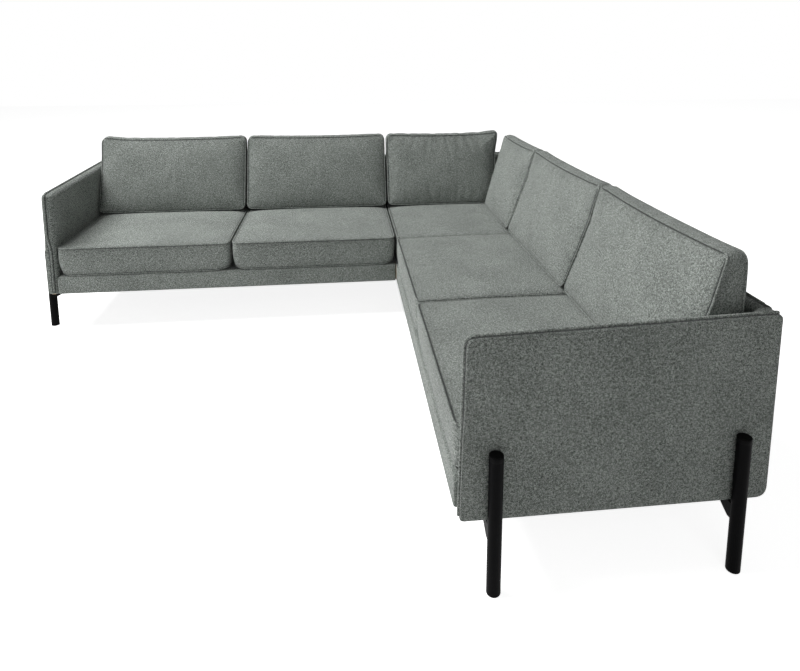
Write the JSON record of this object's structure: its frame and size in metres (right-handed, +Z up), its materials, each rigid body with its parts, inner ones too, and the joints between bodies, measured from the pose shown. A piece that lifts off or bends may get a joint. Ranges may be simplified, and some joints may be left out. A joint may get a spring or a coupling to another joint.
{
  "type": "corner sofa",
  "caption": "L-shaped corner sofa with loose seat and back cushions, thin upholstered arms and backs, and tube legs fixed to the outside of the arms.",
  "frame": {"origin": "on the floor, below the middle of the footprint", "axes": "+Z up; one run goes along -X from the corner and faces -Y, the other goes along -Y from the corner and faces -X"},
  "size_m": [2.75, 2.75, 0.917],
  "materials": {
    "cushion_fabric": "matte",
    "upholstery_fabric": "matte",
    "webbing": "matte",
    "deck_felt": "matte",
    "lining": "matte",
    "plywood": "matte",
    "rail_wood": "matte",
    "black_plastic": "matte",
    "fastener_steel": "satin",
    "leg_paint": "satin"
  },
  "bodies": {
    "sofa_frame": {"connector_bolts": "fastener_steel", "corner_back_cover_left": "upholstery_fabric", "corner_back_cover_right": "upholstery_fabric", "corner_back_panel_left": "plywood", "corner_back_panel_right": "plywood", "corner_dust_cover": "lining", "corner_foot": "leg_paint", "corner_joint_rail_left": "rail_wood", "corner_joint_rail_right": "rail_wood", "corner_rear_rail_left": "rail_wood", "corner_rear_rail_right": "rail_wood", "corner_seat_cushion": "cushion_fabric", "corner_seat_deck": "deck_felt", "corner_seat_webbing": "webbing", "left_arm_cover": "upholstery_fabric", "left_arm_panel": "plywood", "left_arm_rail": "rail_wood", "left_back_cover": "upholstery_fabric", "left_back_panel": "plywood", "left_back_rail": "rail_wood", "left_dust_cover": "lining", "left_front_leg": "leg_paint", "left_front_rail": "rail_wood", "left_joint_foot": "leg_paint", "left_joint_rail": "rail_wood", "left_middle_rail": "rail_wood", "left_rail_cover": "upholstery_fabric", "left_rear_leg": "leg_paint", "left_seat_deck": "deck_felt", "left_seat_webbing": "webbing", "leg_bolts": "fastener_steel", "leg_caps": "black_plastic", "leg_glides": "black_plastic", "leg_screws": "fastener_steel", "right_arm_cover": "upholstery_fabric", "right_arm_panel": "plywood", "right_arm_rail": "rail_wood", "right_back_cover": "upholstery_fabric", "right_back_panel": "plywood", "right_back_rail": "rail_wood", "right_dust_cover": "lining", "right_front_leg": "leg_paint", "right_front_rail": "rail_wood", "right_inner_seat_cushion": "cushion_fabric", "right_joint_foot": "leg_paint", "right_joint_rail": "rail_wood", "right_middle_rail": "rail_wood", "right_rail_cover": "upholstery_fabric", "right_rear_leg": "leg_paint", "right_seat_deck": "deck_felt", "right_seat_webbing": "webbing"},
    "left_outer_seat_cushion": {"left_outer_seat_cushion": "cushion_fabric"},
    "left_inner_seat_cushion": {"left_inner_seat_cushion": "cushion_fabric"},
    "right_outer_seat_cushion": {"right_outer_seat_cushion": "cushion_fabric"},
    "corner_left_back_cushion": {"corner_left_back_cushion": "cushion_fabric"},
    "corner_right_back_cushion": {"corner_right_back_cushion": "cushion_fabric"},
    "left_inner_back_cushion": {"left_inner_back_cushion": "cushion_fabric"},
    "left_outer_back_cushion": {"left_outer_back_cushion": "cushion_fabric"},
    "right_inner_back_cushion": {"right_inner_back_cushion": "cushion_fabric"},
    "right_outer_back_cushion": {"right_outer_back_cushion": "cushion_fabric"}
  },
  "joints": [
    {"name": "left_outer_seat_cushion_draw", "type": "slide", "parent": "sofa_frame", "child": "left_outer_seat_cushion", "axis": [0, -1, 0], "range_m": [0, 0.12]},
    {"name": "left_inner_seat_cushion_draw", "type": "slide", "parent": "sofa_frame", "child": "left_inner_seat_cushion", "axis": [0, -1, 0], "range_m": [0, 0.12]},
    {"name": "right_outer_seat_cushion_draw", "type": "slide", "parent": "sofa_frame", "child": "right_outer_seat_cushion", "axis": [-1, 0, 0], "range_m": [0, 0.12]},
    {"name": "corner_left_back_cushion_lift", "type": "slide", "parent": "sofa_frame", "child": "corner_left_back_cushion", "axis": [0, 0, 1], "range_m": [0, 0.2]},
    {"name": "corner_right_back_cushion_lift", "type": "slide", "parent": "sofa_frame", "child": "corner_right_back_cushion", "axis": [0, 0, 1], "range_m": [0, 0.2]},
    {"name": "left_inner_back_cushion_lift", "type": "slide", "parent": "sofa_frame", "child": "left_inner_back_cushion", "axis": [0, 0, 1], "range_m": [0, 0.2]},
    {"name": "left_outer_back_cushion_lift", "type": "slide", "parent": "sofa_frame", "child": "left_outer_back_cushion", "axis": [0, 0, 1], "range_m": [0, 0.2]},
    {"name": "right_inner_back_cushion_lift", "type": "slide", "parent": "sofa_frame", "child": "right_inner_back_cushion", "axis": [0, 0, 1], "range_m": [0, 0.2]},
    {"name": "right_outer_back_cushion_lift", "type": "slide", "parent": "sofa_frame", "child": "right_outer_back_cushion", "axis": [0, 0, 1], "range_m": [0, 0.2]}
  ],
  "couplings": [
    {"joint": "corner_right_back_cushion_lift", "follows": "corner_left_back_cushion_lift", "ratio": 1}
  ]
}
